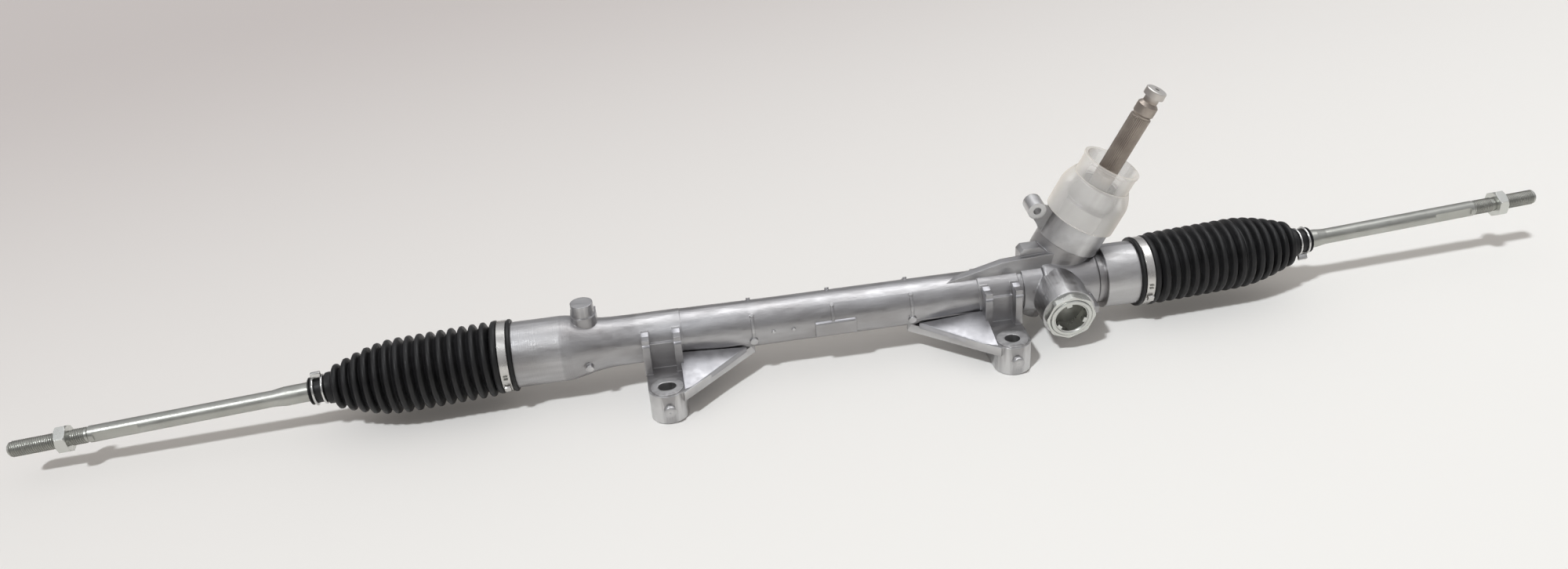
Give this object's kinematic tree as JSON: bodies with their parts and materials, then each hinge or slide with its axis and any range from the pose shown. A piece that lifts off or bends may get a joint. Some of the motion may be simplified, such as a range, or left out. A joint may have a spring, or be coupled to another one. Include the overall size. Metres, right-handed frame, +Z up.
{
  "type": "steering rack",
  "caption": "Manual rack-and-pinion steering gear: a cast tube on two bolt ears, a leaning pinion shaft, ball-jointed tie rods and rubber bellows.",
  "frame": {"origin": "axis of the round bolt hole, on the face its ear sits on", "axes": "+X along the rack towards the pinion's end, +Y from the bolt holes towards the rack, +Z up along the bolts"},
  "size_m": [1.2073, 0.1031, 0.196],
  "materials": {
    "cast_housing": "cast, satin",
    "steel_bar": "ground",
    "shaft_steel": "dark, machined",
    "rod_steel": "satin, grey-green",
    "zinc_steel": "zinc plated",
    "band_steel": "bright strip",
    "bearing_steel": "polished",
    "spring_steel": "plain",
    "boot_rubber": "matt black",
    "seal_rubber": "black",
    "slide_plastic": "natural acetal",
    "cap_plastic": "milky, translucent",
    "yoke_metal": "plain"
  },
  "bodies": {
    "housing": {"rack_housing": "cast_housing", "rack_bush": "slide_plastic", "rack_bush_clip": "spring_steel", "rack_yoke": "yoke_metal", "yoke_liner_pad": "slide_plastic", "yoke_o_ring": "seal_rubber", "yoke_spring": "spring_steel", "yoke_plug": "zinc_steel", "yoke_lock_nut": "zinc_steel", "pinion_bearing_outer": "bearing_steel", "bearing_retainer": "spring_steel", "pinion_bush": "slide_plastic", "pinion_end_cap": "zinc_steel", "pinion_seal": "seal_rubber", "dust_cap": "cap_plastic", "left_bellows": "boot_rubber", "right_bellows": "boot_rubber", "left_bellows_band": "band_steel", "right_bellows_band": "band_steel"},
    "rack": {"rack_bar": "steel_bar", "left_lock_washer": "zinc_steel", "left_inner_socket": "rod_steel", "right_lock_washer": "zinc_steel", "right_inner_socket": "rod_steel"},
    "pinion": {"pinion_shaft": "shaft_steel", "pinion_bearing_inner": "bearing_steel", "pinion_circlip": "spring_steel"},
    "bearing_cage": {"pinion_bearing_cage": "slide_plastic", "pinion_bearing_balls": "bearing_steel"},
    "left_ball_race": {"left_ball_race": "slide_plastic"},
    "left_tie_rod": {"left_tie_rod": "rod_steel", "left_jam_nut": "zinc_steel", "left_bellows_clip": "zinc_steel"},
    "right_ball_race": {"right_ball_race": "slide_plastic"},
    "right_tie_rod": {"right_tie_rod": "rod_steel", "right_jam_nut": "zinc_steel", "right_bellows_clip": "zinc_steel"}
  },
  "joints": [
    {"name": "rack_slide", "type": "slide", "parent": "housing", "child": "rack", "axis": [1, 0, 0], "range_m": [-0.0585, 0.0715], "deforming": ["left_bellows", "right_bellows"]},
    {"name": "pinion_spin", "type": "hinge", "parent": "housing", "child": "pinion", "pos_m": [0.0475, 0.06459, 0.04105], "axis": [0.4305, -0.1256, 0.8938], "range_deg": [-506, 618]},
    {"name": "bearing_cage_spin", "type": "hinge", "parent": "housing", "child": "bearing_cage", "pos_m": [0.0475, 0.06459, 0.04105], "axis": [0.4305, -0.1256, 0.8938], "range_deg": [-197, 240]},
    {"name": "left_rod_rise", "type": "hinge", "parent": "rack", "child": "left_ball_race", "pos_m": [-0.4137, 0.05, 0.039], "axis": [0, 1, 0], "range_deg": [-12.5, 17.5]},
    {"name": "left_rod_sweep", "type": "hinge", "parent": "left_ball_race", "child": "left_tie_rod", "pos_m": [-0.4137, 0.05, 0.039], "axis": [0, 0, 1], "range_deg": [-10.4, 5.6]},
    {"name": "right_rod_rise", "type": "hinge", "parent": "rack", "child": "right_ball_race", "pos_m": [0.1393, 0.05, 0.039], "axis": [0, -1, 0], "range_deg": [-16.9, 13.1]},
    {"name": "right_rod_sweep", "type": "hinge", "parent": "right_ball_race", "child": "right_tie_rod", "pos_m": [0.1393, 0.05, 0.039], "axis": [0, 0, 1], "range_deg": [-10.7, 5.3]}
  ],
  "couplings": [
    {"joint": "pinion_spin", "follows": "rack_slide", "rad_per_m": 150.38},
    {"joint": "bearing_cage_spin", "follows": "rack_slide", "rad_per_m": 58.304}
  ]
}
